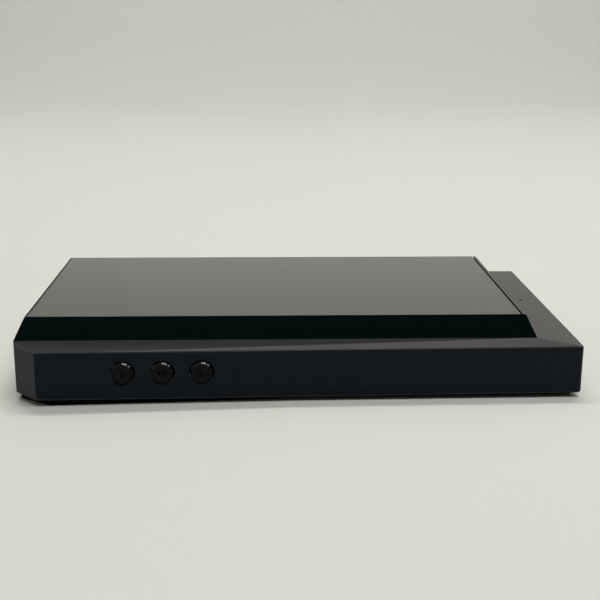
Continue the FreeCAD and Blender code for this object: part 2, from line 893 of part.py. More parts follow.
def make_volume_wheel():
    """Fluted wheel pressed on a shaft that turns in the encoder."""
    flute_angle = 2 * math.pi / wheel_flutes
    flute_bottom = (1 + flute_land) / 2
    points = []
    for i in range(wheel_flutes):
        for share, radius in ((0, wheel_radius), (flute_land, wheel_radius),
                              (flute_bottom, wheel_radius - flute_depth)):
            angle = (i + share) * flute_angle
            points.append(Vector(wheel_x + radius * math.cos(angle), wheel_y + radius * math.sin(angle), 0))
    wheel = prism(points, wheel_bottom, wheel_top)
    wide = wheel_radius + wheel_edge_lift
    narrow = wheel_radius - flute_depth
    low_cone = Part.makeCone(narrow, wide, wheel_edge_break, Vector(wheel_x, wheel_y, wheel_bottom))
    high_cone = Part.makeCone(wide, narrow, wheel_edge_break,
                              Vector(wheel_x, wheel_y, wheel_top - wheel_edge_break))
    middle = upright(wide, wheel_x, wheel_y, wheel_bottom + wheel_edge_break, wheel_top - wheel_edge_break)
    wheel = wheel.common(middle.fuse(low_cone).fuse(high_cone))
    wheel = wheel.cut(upright(encoder_radius + hub_clearance, wheel_x, wheel_y, wheel_bottom - over,
                              web_bottom))
    shaft_top = wheel_top - shaft_cover
    wheel = wheel.cut(upright(shaft_radius, wheel_x, wheel_y, web_bottom - over, shaft_top))
    write(wheel, "volume_wheel")
    write(upright(shaft_radius, wheel_x, wheel_y, board_top + shaft_end_gap, shaft_top), "volume_shaft")
    encoder = upright(encoder_radius, wheel_x, wheel_y, board_top, encoder_top)
    encoder = encoder.cut(upright(shaft_radius + shaft_clearance, wheel_x, wheel_y,
                                  board_top + encoder_floor, encoder_top + over))
    write(encoder, "volume_encoder")


def make_jack(name, y, bore, sleeve_outer, width, length):
    """Jack body with a metal sleeve that fills the wall."""
    sleeve_left = left + sleeve_recess
    sleeve_right = left + sleeve_length
    along = Vector(1, 0, 0)
    sleeve = rod(sleeve_outer, Vector(sleeve_left, y, jack_z), along, sleeve_right - sleeve_left)
    sleeve = sleeve.cut(rod(bore, Vector(sleeve_left - over, y, jack_z), along, sleeve_length + 2 * over))
    write(sleeve, name + "_sleeve")
    body = box(sleeve_right, sleeve_right + length, y - width / 2, y + width / 2, board_top,
               board_top + jack_height)
    body = body.cut(rod(bore, Vector(sleeve_right - over, y, jack_z), along, length - jack_end_wall + over))
    side = y + bore + contact_cover
    slot_left = sleeve_right + length - contact_from_end
    slot = box(slot_left, slot_left + contact_length, side, side + contact_thickness,
               jack_z - contact_width / 2, jack_z + contact_width / 2)
    write(body.cut(slot), name)
    return slot


def make_jacks():
    """Headphone jack, balanced jack and their spring contacts."""
    contacts = [
        make_jack("headphone_jack", jack_y, jack_bore_radius, jack_sleeve_radius, jack_body_width,
                  jack_body_length),
        make_jack("balanced_jack", balanced_y, balanced_bore_radius, balanced_sleeve_radius,
                  balanced_body_width, balanced_body_length),
    ]
    write(contacts, "jack_contacts")


def on_main_board(from_left, y, length, depth, height):
    """Block soldered to the main board."""
    return centred_box(left + from_left, y, length, depth, board_top, board_top + height)


def make_main_board():
    """Main board with its screws."""
    board = prism(inset(body_outline, wall + board_clearance), board_bottom, board_top)
    board = board.common(box(left, board_right, near + main_board_near, far, 0, overall_height))
    for x, y in board_screw_places():
        hole = upright(screw_radius + screw_clearance, x, y, board_bottom - over, board_top + over)
        board = board.cut(hole)
    write(board, "main_board")
    write([make_screw(x, y, board_top) for x, y in board_screw_places()], "main_board_screws")


def make_chips():
    """Processor under its shield, memory, converters, amplifiers and their small parts."""
    shield_y = near + shield_from_near
    can = on_main_board(shield_from_left, shield_y, shield_size, shield_size, shield_height)
    inside = shield_size - 2 * shield_sheet
    hollow = on_main_board(shield_from_left, shield_y, inside, inside, shield_height - shield_sheet)
    write(can.cut(hollow), "processor_shield")
    write(on_main_board(shield_from_left, shield_y, processor_size, processor_size, processor_height),
          "processor_chip")
    write(on_main_board(flash_from_left, near + flash_from_near, flash_length, flash_depth, flash_height),
          "flash_memory")
    write([on_main_board(dac_from_left, near + dac_from_near + i * dac_pitch, dac_size, dac_size, dac_height)
           for i in range(2)], "dac_chips")
    write([on_main_board(amplifier_from_left, amplifier_y + i * amplifier_pitch, amplifier_size,
                         amplifier_size, amplifier_height) for i in range(2)], "amplifier_chips")
    capacitors = []
    for i in range(capacitor_count):
        y = near + capacitor_from_near + i * capacitor_pitch
        capacitors.append(on_main_board(capacitor_from_left, y, capacitor_length, capacitor_depth,
                                        capacitor_height))
    write(capacitors, "audio_capacitors")
    write([on_main_board(crystal_from_left, far - crystal_from_far + i * crystal_pitch, crystal_length,
                         crystal_depth, crystal_height) for i in range(2)], "clock_crystals")


def make_connectors():
    """Sockets on the main board, one for each ribbon and one for the battery."""
    display_plug = centred_box(board_right - display_plug_from_end, display_plug_y, display_plug_length,
                               display_plug_depth, board_top, plug_top)
    battery_plug = centred_box(board_right - battery_plug_from_end, lead_y, battery_plug_length,
                               battery_plug_depth, board_top, board_top + battery_plug_height)
    link_plug = centred_box(link_plug_x, link_plug_y, link_plug_length, link_width, board_top, link_top)
    plug_front = bracket_back + button_plug_offset
    button_plug = box(button_ribbon_left, button_ribbon_right, plug_front, plug_front + button_plug_depth,
                      board_top, plug_top)
    write([display_plug, battery_plug, link_plug, at_near_wall(button_plug)], "board_connectors")


def make_battery():
    """Battery pouch, its tape, its lead and the pad above it."""
    pouch = rounded_box(battery_x, battery_right, battery_near, battery_far, battery_bottom, battery_top,
                        battery_round)
    write(pouch, "battery")
    write(box(battery_x + tape_inset, battery_right - tape_inset, battery_near + tape_inset,
              battery_far - tape_inset, floor_top, battery_bottom), "battery_tape")
    write(box(battery_x + pad_inset, battery_right - pad_inset, battery_near + pad_inset,
              battery_far - pad_inset, battery_top, foot_height), "battery_cushion")
    lead_left = board_right - battery_plug_from_end - battery_plug_length / 2
    lead_bottom = board_top + battery_plug_height
    write(box(lead_left, battery_x, lead_y - lead_width / 2, lead_y + lead_width / 2, lead_bottom,
              lead_bottom + lead_thickness), "battery_lead")


def make_port():
    """Data port: drawn shell and tongue."""
    port_right = right - port_recess
    port_left = port_right - port_length
    shell = slot_along_x(port_left, port_right, port_y, port_z, port_width, port_height)
    hollow = slot_along_x(port_left + port_wall, port_right + over, port_y, port_z,
                          port_width - 2 * port_wall, port_height - 2 * port_wall)
    write(shell.cut(hollow), "usb_port_shell")
    tongue_left = port_left + port_wall
    write(box(tongue_left, tongue_left + tongue_length, port_y - tongue_width / 2, port_y + tongue_width / 2,
              port_z - tongue_thickness / 2, port_z + tongue_thickness / 2), "usb_port_tongue")


def make_card_slot():
    """Holder for a memory card."""
    slot_left = usb_board_right - card_body_length
    body = box(slot_left, usb_board_right, card_y - card_body_width / 2, card_y + card_body_width / 2,
               usb_board_top, usb_board_top + card_body_height)
    space = box(slot_left + card_back_wall, usb_board_right + over, card_y - card_slot_width / 2,
                card_y + card_slot_width / 2, card_z - card_slot_height / 2, card_z + card_slot_height / 2)
    write(body.cut(space), "card_slot")


def make_status_light():
    """Light on the port board and the pipe that leads it up through the strip."""
    led_top = usb_board_top + led_height
    write(centred_box(light_x, light_y, led_length, led_width, usb_board_top, led_top), "status_led")
    pipe = upright(light_radius, light_x, light_y, led_top + led_gap, foot_height)
    wedge = box(block_right, right, near, far, 0, strip_bottom).fuse(solid_from_faces(strip_outlines()))
    wedge.translate(Vector(0, 0, -light_recess))
    pipe = pipe.common(wedge)
    flange = upright(light_flange_radius, light_x, light_y, deck_under - light_flange_thickness, deck_under)
    write(pipe.fuse(flange).removeSplitter(), "status_light_pipe")


def make_usb_board():
    """Board at the right end, its screws and the ribbon from the main board."""
    board = box(usb_board_left, usb_board_right, usb_board_near, usb_board_far, floor_top + usb_board_gap,
                usb_board_top)
    for x, y in usb_screw_places():
        board = board.cut(upright(screw_radius + screw_clearance, x, y, floor_top, usb_board_top + over))
    write(board, "usb_board")
    write([make_screw(x, y, usb_board_top) for x, y in usb_screw_places()], "usb_board_screws")
    write(box(link_plug_x - link_width / 2, usb_board_left + link_landing, link_plug_y - link_width / 2,
              link_plug_y + link_width / 2, link_top, link_top + ribbon_thickness), "board_link_flex")


def strip_outlines():
    """Faces of the wedge of metal under the strip to the right of the display block."""
    low = strip_bottom
    a, b = Vector(block_right, near, low), Vector(right, near, low)
    c, d = Vector(right, far, low), Vector(block_right, far, low)
    e, f = Vector(block_right, near, foot_height), Vector(right, near, rim_height)
    g, h = Vector(right, far, rim_height), Vector(block_right, far, foot_height)
    return [[a, d, c, b], [a, b, f, e], [b, c, g, f], [c, d, h, g], [d, a, e, h], [e, f, g, h]]


def main():
    os.makedirs("parts", exist_ok=True)
    write(make_housing(), "main_housing")
    write(make_rear_cover(), "rear_cover")
    write(prism(cover_points(cover_film_inset), cover_thickness, wall_bottom), "rear_cover_adhesive")
    write(make_bezel(), "display_bezel")
    write(bezel_film(), "bezel_adhesive")
    write(make_glass(), "cover_glass")
    write(glass_film(), "glass_adhesive")
    make_display_stack()
    make_transport_buttons()
    make_button_board()
    make_power_button()
    make_volume_wheel()
    make_jacks()
    make_main_board()
    make_chips()
    make_connectors()
    make_battery()
    make_usb_board()
    make_port()
    make_card_slot()
    make_status_light()
    write(antenna_block(0), "wireless_antenna")


main()
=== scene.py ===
import json
import math

import bmesh
import bpy
from mathutils import Matrix, Vector


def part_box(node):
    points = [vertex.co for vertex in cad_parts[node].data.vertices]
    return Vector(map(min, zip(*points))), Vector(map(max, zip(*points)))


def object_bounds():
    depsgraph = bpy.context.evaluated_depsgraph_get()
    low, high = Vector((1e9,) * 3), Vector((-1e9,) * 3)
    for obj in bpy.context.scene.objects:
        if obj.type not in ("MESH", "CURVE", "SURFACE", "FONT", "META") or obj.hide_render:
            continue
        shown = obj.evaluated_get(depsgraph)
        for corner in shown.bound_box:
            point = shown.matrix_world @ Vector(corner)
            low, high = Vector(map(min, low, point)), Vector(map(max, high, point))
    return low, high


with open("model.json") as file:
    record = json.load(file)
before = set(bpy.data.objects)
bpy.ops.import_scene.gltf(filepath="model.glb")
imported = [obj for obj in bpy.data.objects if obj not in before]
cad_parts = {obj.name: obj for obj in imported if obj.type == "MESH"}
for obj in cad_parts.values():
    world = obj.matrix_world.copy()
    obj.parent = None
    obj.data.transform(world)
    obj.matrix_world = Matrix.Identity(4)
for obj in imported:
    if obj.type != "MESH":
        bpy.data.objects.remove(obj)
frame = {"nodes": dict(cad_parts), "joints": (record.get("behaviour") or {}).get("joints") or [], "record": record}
cad_low, cad_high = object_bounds()

# Photograph's view: metres and degrees in the part's own frame
photo_width = 600
focal_pixels = 1061.6
sensor_width = 36
camera_place = Vector((-0.00673, -0.22037, 0.07156))
camera_yaw = 1.99
camera_pitch = 15.09
camera_roll = 0.23

# Studio, in metres
wall_distance = 0.9
sweep_radius = 0.26
sweep_steps = 24
floor_reach = 3.0

# The photographed paper climbs against the player's near wall
paper_climb = 0.0021
climb_inside = (0.0001, 0.0009)    # behind the near wall, out of sight
climb_right_end = (0.09, 0.2)
climb_front_end = (-0.2, -0.08)
wall_lean = 0.0202                 # metres back for each metre to the right
fine_columns = (-0.06, 0.06, 0.002, 0.05)
fine_rows = (-0.035, -0.025, 0.0002, 0.025)

paper_colour = (0.74, 0.735, 0.68, 1)
paper_shade = (0.72, 0.72, 0.665, 1)
room_left = (0.24, 0.245, 0.235, 1)
room_right = (0.02, 0.02, 0.02, 1)

# Lamps: name, place and aim in metres, width, height and watts
lamps = (
    ("ceiling_lamp", (0.04, 0.35, 0.92), (0, 0, 0), 0.8, 0.12, 4.2),
    ("back_soft_box", (0, 0.8, 0.75), (0, 0, 0), 1.6, 0.5, 1.4),
    ("front_soft_box", (0.22, -0.34, 0.9), (0, 0, 0), 0.9, 0.3, 4.3),
    ("right_lamp", (0.7, -0.3, 0.6), (0, 0, 0), 0.25, 0.25, 0.5),
    ("backdrop_lamp", (0, 0.5, 1.0), (0, 0.9, 0.48), 1.4, 0.2, 0.75),
)
backdrop_spread = 34           # degrees

# Colours
anodised_black = (0.0002, 0.0038, 0.0090, 1)
# Painted light: the upward ledges get a lighter, warmer colour than the walls of the same metal
ledge_painted_light = (0.0076, 0.0062, 0.0060, 1)
button_black = (0.0001, 0.0032, 0.0078, 1)
bezel_black = (0.0010, 0.0065, 0.0062, 1)
glass_black = (0.0040, 0.0050, 0.0048, 1)
screen_black = (0.0052, 0.0062, 0.0060, 1)
cover_black = (0.0004, 0.0005, 0.0005, 1)
mark_black = (0.0003, 0.0008, 0.0012, 1)

# Places of finishes, in metres
thin = 0.00002                 # usual width of a step between two finishes
groove_depth = 0.00012
symbol_reach = 0.0015
cap_face_radius = 0.0018
cap_radius = 0.00205
cap_polish_rise = 0.001
hole_radius = 0.00243          # with the rim of the hole, painted black as shade
picture_half = (0.0797 / 2, 0.0448 / 2)
glass_border_strip = 0.0008
ledge_rise = 0.00115
ledge_blend = 0.0001

# Strength of the extra gloss
ledge_gloss = 0.5
bezel_gloss = 0.6
glass_gloss = 1.0


def add_input(group, kind, name, default=None):
    """Adds one input to a node group."""
    socket = group.interface.new_socket(name=name, in_out="INPUT", socket_type=kind)
    if default is not None:
        socket.default_value = default


def noise(nodes, links, place, scale, detail=3.0, roughness=0.5):
    """Noise node fed with the surface's own coordinates."""
    node = nodes.new("ShaderNodeTexNoise")
    node.inputs["Scale"].default_value = scale
    node.inputs["Detail"].default_value = detail
    node.inputs["Roughness"].default_value = roughness
    links.new(place, node.inputs["Vector"])
    return node


def spread(nodes, links, value, low, high, to_low=0.0, to_high=1.0):
    """Stretches one span of values over another."""
    node = nodes.new("ShaderNodeMapRange")
    node.inputs["From Min"].default_value = low
    node.inputs["From Max"].default_value = high
    node.inputs["To Min"].default_value = to_low
    node.inputs["To Max"].default_value = to_high
    links.new(value, node.inputs["Value"])
    return node.outputs["Result"]


def calculate(nodes, links, operation, first, second):
    """One sum on two linked values."""
    node = nodes.new("ShaderNodeMath")
    node.operation = operation
    links.new(first, node.inputs[0])
    links.new(second, node.inputs[1])
    return node.outputs[0]


def put(links, value, socket):
    """Links a node's output to a socket, or sets the socket to a constant."""
    if isinstance(value, bpy.types.NodeSocket):
        links.new(value, socket)
    else:
        socket.default_value = value


def blend(nodes, links, mask, first, second, kind="RGBA", blend_type="MIX"):
    """Mixes two colours or two values by a mask."""
    node = nodes.new("ShaderNodeMix")
    node.data_type = kind
    node.blend_type = blend_type
    put(links, mask, node.inputs["Factor"])
    put(links, first, node.inputs["A"])
    put(links, second, node.inputs["B"])
    return node.outputs["Result"]


def set_constants(shader, values):
    """Sets inputs of the shader to constants by name."""
    for name, value in values.items():
        shader.inputs[name].default_value = value


def split(nodes, links, place):
    """The three coordinates of a place, each by itself."""
    parts = nodes.new("ShaderNodeSeparateXYZ")
    links.new(place, parts.inputs["Vector"])
    return parts.outputs


def make_blasted_group():
    """Bead-blasted metal: a fine grain and a faint cloudiness, as roughness, tint and height."""
    group = bpy.data.node_groups.new("blasted_metal", "ShaderNodeTree")
    add_input(group, "NodeSocketVector", "Place")
    add_input(group, "NodeSocketColor", "Colour", (0.01, 0.01, 0.01, 1))
    add_input(group, "NodeSocketFloat", "Roughness", 0.4)
    for kind, name in (("NodeSocketColor", "Colour"), ("NodeSocketFloat", "Roughness"),
                       ("NodeSocketFloat", "Height")):
        group.interface.new_socket(name=name, in_out="OUTPUT", socket_type=kind)
    nodes, links = group.nodes, group.links
    source = nodes.new("NodeGroupInput")
    result = nodes.new("NodeGroupOutput")
    grain = noise(nodes, links, source.outputs["Place"], 2600.0, 3.0, 0.65)
    cloud = noise(nodes, links, source.outputs["Place"], 90.0, 3.0, 0.5)
    total = source.outputs["Roughness"]
    for pattern, reach in ((cloud, 0.02), (grain, 0.05)):
        change = spread(nodes, links, pattern.outputs["Fac"], 0.3, 0.7, -reach, reach)
        total = calculate(nodes, links, "ADD", total, change)
    links.new(total, result.inputs["Roughness"])
    shade = spread(nodes, links, grain.outputs["Fac"], 0.3, 0.7, 0.7, 1.3)
    tint = blend(nodes, links, 1.0, source.outputs["Colour"], shade, blend_type="MULTIPLY")
    links.new(tint, result.inputs["Colour"])
    links.new(grain.outputs["Fac"], result.inputs["Height"])
    return group


def make_handled_group():
    """Handled gloss: faint cloudy smears and sparse dust, as roughness and a mask."""
    group = bpy.data.node_groups.new("handled_gloss", "ShaderNodeTree")
    add_input(group, "NodeSocketVector", "Place")
    add_input(group, "NodeSocketFloat", "Clean", 0.05)
    add_input(group, "NodeSocketFloat", "Smeared", 0.12)
    for kind, name in (("NodeSocketFloat", "Roughness"), ("NodeSocketFloat", "Dust")):
        group.interface.new_socket(name=name, in_out="OUTPUT", socket_type=kind)
    nodes, links = group.nodes, group.links
    source = nodes.new("NodeGroupInput")
    result = nodes.new("NodeGroupOutput")
    cloud = noise(nodes, links, source.outputs["Place"], 45.0, 4.0, 0.55)
    mix = nodes.new("ShaderNodeMapRange")
    mix.inputs["From Min"].default_value = 0.45
    mix.inputs["From Max"].default_value = 0.8
    links.new(cloud.outputs["Fac"], mix.inputs["Value"])
    links.new(source.outputs["Clean"], mix.inputs["To Min"])
    links.new(source.outputs["Smeared"], mix.inputs["To Max"])
    links.new(mix.outputs["Result"], result.inputs["Roughness"])
    specks = nodes.new("ShaderNodeTexVoronoi")
    specks.inputs["Scale"].default_value = 420.0
    specks.inputs["Randomness"].default_value = 1.0
    links.new(source.outputs["Place"], specks.inputs["Vector"])
    dots = spread(nodes, links, specks.outputs["Distance"], 0.02, 0.06, 1.0, 0.0)
    links.new(dots, result.inputs["Dust"])
    return group


blasted = make_blasted_group()
handled = make_handled_group()


def start_material(name):
    """New material with its shader and the surface's own coordinates."""
    material = bpy.data.materials.new(name)
    material.use_nodes = True
    nodes, links = material.node_tree.nodes, material.node_tree.links
    shader = nodes["Principled BSDF"]
    place = nodes.new("ShaderNodeTexCoord").outputs["Object"]
    return material, nodes, links, shader, place


def bump(nodes, links, height, shader, distance):
    """Fine relief in metres."""
    node = nodes.new("ShaderNodeBump")
    node.inputs["Distance"].default_value = distance
    links.new(height, node.inputs["Height"])
    links.new(node.outputs["Normal"], shader.inputs["Normal"])


def blasted_material(name, colour, roughness, ior, relief=0.000004):
    """Blasted and anodised metal in one colour."""
    material, nodes, links, shader, place = start_material(name)
    effect = nodes.new("ShaderNodeGroup")
    effect.node_tree = blasted
    effect.inputs["Colour"].default_value = colour
    effect.inputs["Roughness"].default_value = roughness
    links.new(place, effect.inputs["Place"])
    links.new(effect.outputs["Colour"], shader.inputs["Base Color"])
    links.new(effect.outputs["Roughness"], shader.inputs["Roughness"])
    bump(nodes, links, effect.outputs["Height"], shader, relief)
    set_constants(shader, {"IOR": ior})
    return material


def handle(nodes, links, place, shader, clean, smeared):
    """Adds handling marks: the shader's roughness goes from clean to smeared. Returns the group."""
    effect = nodes.new("ShaderNodeGroup")
    effect.node_tree = handled
    effect.inputs["Clean"].default_value = clean
    effect.inputs["Smeared"].default_value = smeared
    links.new(place, effect.inputs["Place"])
    links.new(effect.outputs["Roughness"], shader.inputs["Roughness"])
    return effect


def box_middle(name):
    """Middle of a piece's box."""
    low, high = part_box(name)
    return (low + high) / 2


def distance_to_cap(nodes, links, place, name, inwards):
    """Distance of the surface from one button's axis."""
    offset = nodes.new("ShaderNodeVectorMath")
    offset.operation = "SUBTRACT"
    offset.inputs[1].default_value = box_middle(name)
    links.new(place, offset.inputs[0])
    across = nodes.new("ShaderNodeVectorMath")
    across.operation = "CROSS_PRODUCT"
    across.inputs[1].default_value = inwards
    links.new(offset.outputs["Vector"], across.inputs[0])
    size = nodes.new("ShaderNodeVectorMath")
    size.operation = "LENGTH"
    links.new(across.outputs["Vector"], size.inputs[0])
    return size.outputs["Value"]


def press_direction():
    """Direction in which the three front buttons are pressed."""
    joint = next(j for j in frame["joints"] if j["name"] == "play_press")
    return Vector(joint["axis"])


def distance_to_caps(nodes, links, place):
    """Distance of the surface from the nearest of the three buttons' axes."""
    inwards = press_direction()
    nearest = distance_to_cap(nodes, links, place, "previous_button", inwards)
    for name in ("play_button", "next_button"):
        distance = distance_to_cap(nodes, links, place, name, inwards)
        nearest = calculate(nodes, links, "MINIMUM", nearest, distance)
    return nearest


def paint_shade_black(nodes, links, shader, mask):
    """Painted shade: black, matt and metallic where the mask is 1, over the colour and roughness already linked,
    standing in for the shade in recesses and gaps.
    """
    for name, kind, value in (("Base Color", "RGBA", (0, 0, 0, 1)), ("Roughness", "FLOAT", 1.0)):
        socket = shader.inputs[name]
        before = socket.links[0].from_socket
        links.new(blend(nodes, links, mask, before, value, kind), socket)
    links.new(mask, shader.inputs["Metallic"])


def body_material():
    """The body's blasted metal: glossier on the ledges, with painted light there as a lighter, warmer colour than
    the walls, and painted black shade in the button holes.
    """
    material = blasted_material("body_metal", anodised_black, 0.34, ior=1.19, relief=0.00003)
    nodes, links = material.node_tree.nodes, material.node_tree.links
    shader = next(node for node in nodes if node.type == "BSDF_PRINCIPLED")
    place = next(node for node in nodes if node.type == "TEX_COORD").outputs["Object"]
    parts = split(nodes, links, place)
    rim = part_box("main_housing")[1].z - ledge_rise
    ledge = spread(nodes, links, parts["Z"], rim - ledge_blend, rim + ledge_blend)
    metal = shader.inputs["Base Color"].links[0].from_socket
    # Painted light: a lighter, warmer colour on the ledges, where the metal catches light from above
    links.new(blend(nodes, links, ledge, metal, ledge_painted_light), shader.inputs["Base Color"])
    links.new(spread(nodes, links, ledge, 0.0, 1.0, 0.0, ledge_gloss), shader.inputs["Coat Weight"])
    set_constants(shader, {"Coat Roughness": 0.32, "Coat IOR": 1.2,
                           "Sheen Weight": 0.17, "Sheen Roughness": 0.5})
    # Painted shade: the button holes in the near wall are painted black
    nearest = distance_to_caps(nodes, links, place)
    painted_hole_shade = spread(nodes, links, nearest, hole_radius, hole_radius + thin, 1.0, 0.0)
    near_half = spread(nodes, links, parts["Y"], -0.001, 0.001, 1.0, 0.0)
    paint_shade_black(nodes, links, shader, calculate(nodes, links, "MULTIPLY", painted_hole_shade, near_half))
    return material


def distance_from(nodes, links, value, centre):
    """How far a coordinate is from a place, either way."""
    offset = nodes.new("ShaderNodeMath")
    offset.operation = "SUBTRACT"
    offset.inputs[1].default_value = centre
    links.new(value, offset.inputs[0])
    size = nodes.new("ShaderNodeMath")
    size.operation = "ABSOLUTE"
    links.new(offset.outputs[0], size.inputs[0])
    return size.outputs[0]


def depth_in_cap(nodes, links, place, inwards):
    """Depth of the surface behind the button caps' flat faces, which share one plane."""
    corners = bpy.data.objects["play_button"].data.vertices
    face = min(corner.co.dot(inwards) for corner in corners)
    along = nodes.new("ShaderNodeVectorMath")
    along.operation = "DOT_PRODUCT"
    along.inputs[1].default_value = inwards
    links.new(place, along.inputs[0])
    return distance_from(nodes, links, along.outputs["Value"], face)


def button_material():
    """Button caps: matt faces with painted black shade in the engraved symbols and on the caps' sides, and a
    broken edge polished in its upper half.
    """
    material, nodes, links, shader, place = start_material("button_metal")
    nearest = distance_to_caps(nodes, links, place)
    edge = spread(nodes, links, nearest, cap_face_radius - thin, cap_face_radius + thin)
    height = split(nodes, links, place)["Z"]
    middle = box_middle("play_button").z
    upper = spread(nodes, links, height, middle, middle + cap_polish_rise)
    polished = calculate(nodes, links, "MULTIPLY", edge, upper)
    links.new(spread(nodes, links, polished, 0.0, 1.0, 0.62, 0.16), shader.inputs["Roughness"])
    links.new(polished, shader.inputs["Coat Weight"])
    set_constants(shader, {"Coat Roughness": 0.08, "Coat IOR": 1.45, "IOR": 1.24})
    grain = noise(nodes, links, place, 5200.0, 2.0, 0.6).outputs["Fac"]
    links.new(blend(nodes, links, grain, button_black, mark_black), shader.inputs["Base Color"])
    # Painted shade: the engraved symbols and the caps' sides, in the gap round each cap, are painted black
    depth = depth_in_cap(nodes, links, place, press_direction())
    deep = spread(nodes, links, depth, groove_depth * 0.3, groove_depth * 0.6)
    inner = spread(nodes, links, nearest, symbol_reach, symbol_reach + thin, 1.0, 0.0)
    painted_symbol_shade = calculate(nodes, links, "MULTIPLY", deep, inner)
    painted_side_shade = spread(nodes, links, nearest, cap_radius - thin, cap_radius - thin / 2)
    paint_shade_black(nodes, links, shader, calculate(nodes, links, "MAXIMUM", painted_symbol_shade, painted_side_shade))
    bump(nodes, links, grain, shader, 0.000003)
    return material


def polished_top(nodes, links, parts, shader, polish):
    """Extra polish on the display block's flat top; its leaning sides stay plainer. Returns the mask."""
    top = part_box("cover_glass")[1].z
    face = spread(nodes, links, parts["Z"], top - thin * 1.5, top - thin / 2, 0.0, polish)
    links.new(face, shader.inputs["Coat Weight"])
    set_constants(shader, {"Coat Roughness": 0.04, "Coat IOR": 1.27, "IOR": 1.15})
    return face


def bezel_material():
    """Gloss black frame of the display, polished on top like the glass beside it."""
    material, nodes, links, shader, place = start_material("gloss_black")
    handle(nodes, links, place, shader, 0.1, 0.16)
    face = polished_top(nodes, links, split(nodes, links, place), shader, bezel_gloss)
    links.new(blend(nodes, links, face, bezel_black, glass_black), shader.inputs["Base Color"])
    return material


def gloss_material(name, colour, clean, smeared, ior):
    """Polished dark surface with faint handling marks and dust."""
    material, nodes, links, shader, place = start_material(name)
    effect = handle(nodes, links, place, shader, clean, smeared)
    dusty = tuple(min(1, c * 1.6 + 0.002) for c in colour[:3]) + (1,)
    links.new(blend(nodes, links, effect.outputs["Dust"], colour, dusty), shader.inputs["Base Color"])
    set_constants(shader, {"IOR": ior})
    return material


def screen_glass_material():
    """Cover glass: polished face over a black print and a dark screen, with a matt strip on the left."""
    material, nodes, links, shader, place = start_material("screen_glass")
    smears = handle(nodes, links, place, shader, 0.03, 0.07).outputs["Roughness"]
    parts = split(nodes, links, place)
    face = polished_top(nodes, links, parts, shader, glass_gloss)
    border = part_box("cover_glass")[0].x + glass_border_strip
    inner = spread(nodes, links, parts["X"], border - thin * 1.5, border + thin * 1.5)
    polished = calculate(nodes, links, "MULTIPLY", face, inner)
    links.new(polished, shader.inputs["Coat Weight"])
    links.new(blend(nodes, links, inner, 0.55, smears, "FLOAT"), shader.inputs["Roughness"])

    picture = polished
    for axis, centre, half in zip("XY", box_middle("display_panel"), picture_half):
        distance = distance_from(nodes, links, parts[axis], centre)
        inside = spread(nodes, links, distance, half - thin * 2.5, half + thin * 2.5, 1.0, 0.0)
        picture = calculate(nodes, links, "MULTIPLY", picture, inside)
    printed = blend(nodes, links, polished, bezel_black, glass_black)
    links.new(blend(nodes, links, picture, printed, screen_black), shader.inputs["Base Color"])
    return material


def speckled_material(name, colour, accent, scale, roughness, metallic=0.0, relief=0.0, coat=0.0):
    """Plain inner material with a mottled tint."""
    material, nodes, links, shader, place = start_material(name)
    cloud = noise(nodes, links, place, scale, 4.0, 0.6).outputs["Fac"]
    mottle = spread(nodes, links, cloud, 0.35, 0.65)
    links.new(blend(nodes, links, mottle, colour, accent), shader.inputs["Base Color"])
    links.new(spread(nodes, links, cloud, 0.3, 0.7, roughness - 0.06, roughness + 0.06),
              shader.inputs["Roughness"])
    set_constants(shader, {"Metallic": metallic, "Coat Weight": coat})
    if relief:
        bump(nodes, links, cloud, shader, relief)
    return material


def brushed_material(name, colour, direction, roughness):
    """Metal drawn along one direction."""
    material, nodes, links, shader, place = start_material(name)
    stretch = nodes.new("ShaderNodeMapping")
    stretch.inputs["Scale"].default_value = direction
    links.new(place, stretch.inputs["Vector"])
    lines = noise(nodes, links, stretch.outputs["Vector"], 900.0, 3.0, 0.6).outputs["Fac"]
    shade = spread(nodes, links, lines, 0.3, 0.7, 0.8, 1.1)
    shaded = blend(nodes, links, 1.0, colour, shade, blend_type="MULTIPLY")
    links.new(shaded, shader.inputs["Base Color"])
    links.new(spread(nodes, links, lines, 0.3, 0.7, roughness - 0.08, roughness + 0.08),
              shader.inputs["Roughness"])
    set_constants(shader, {"Metallic": 1.0})
    return material


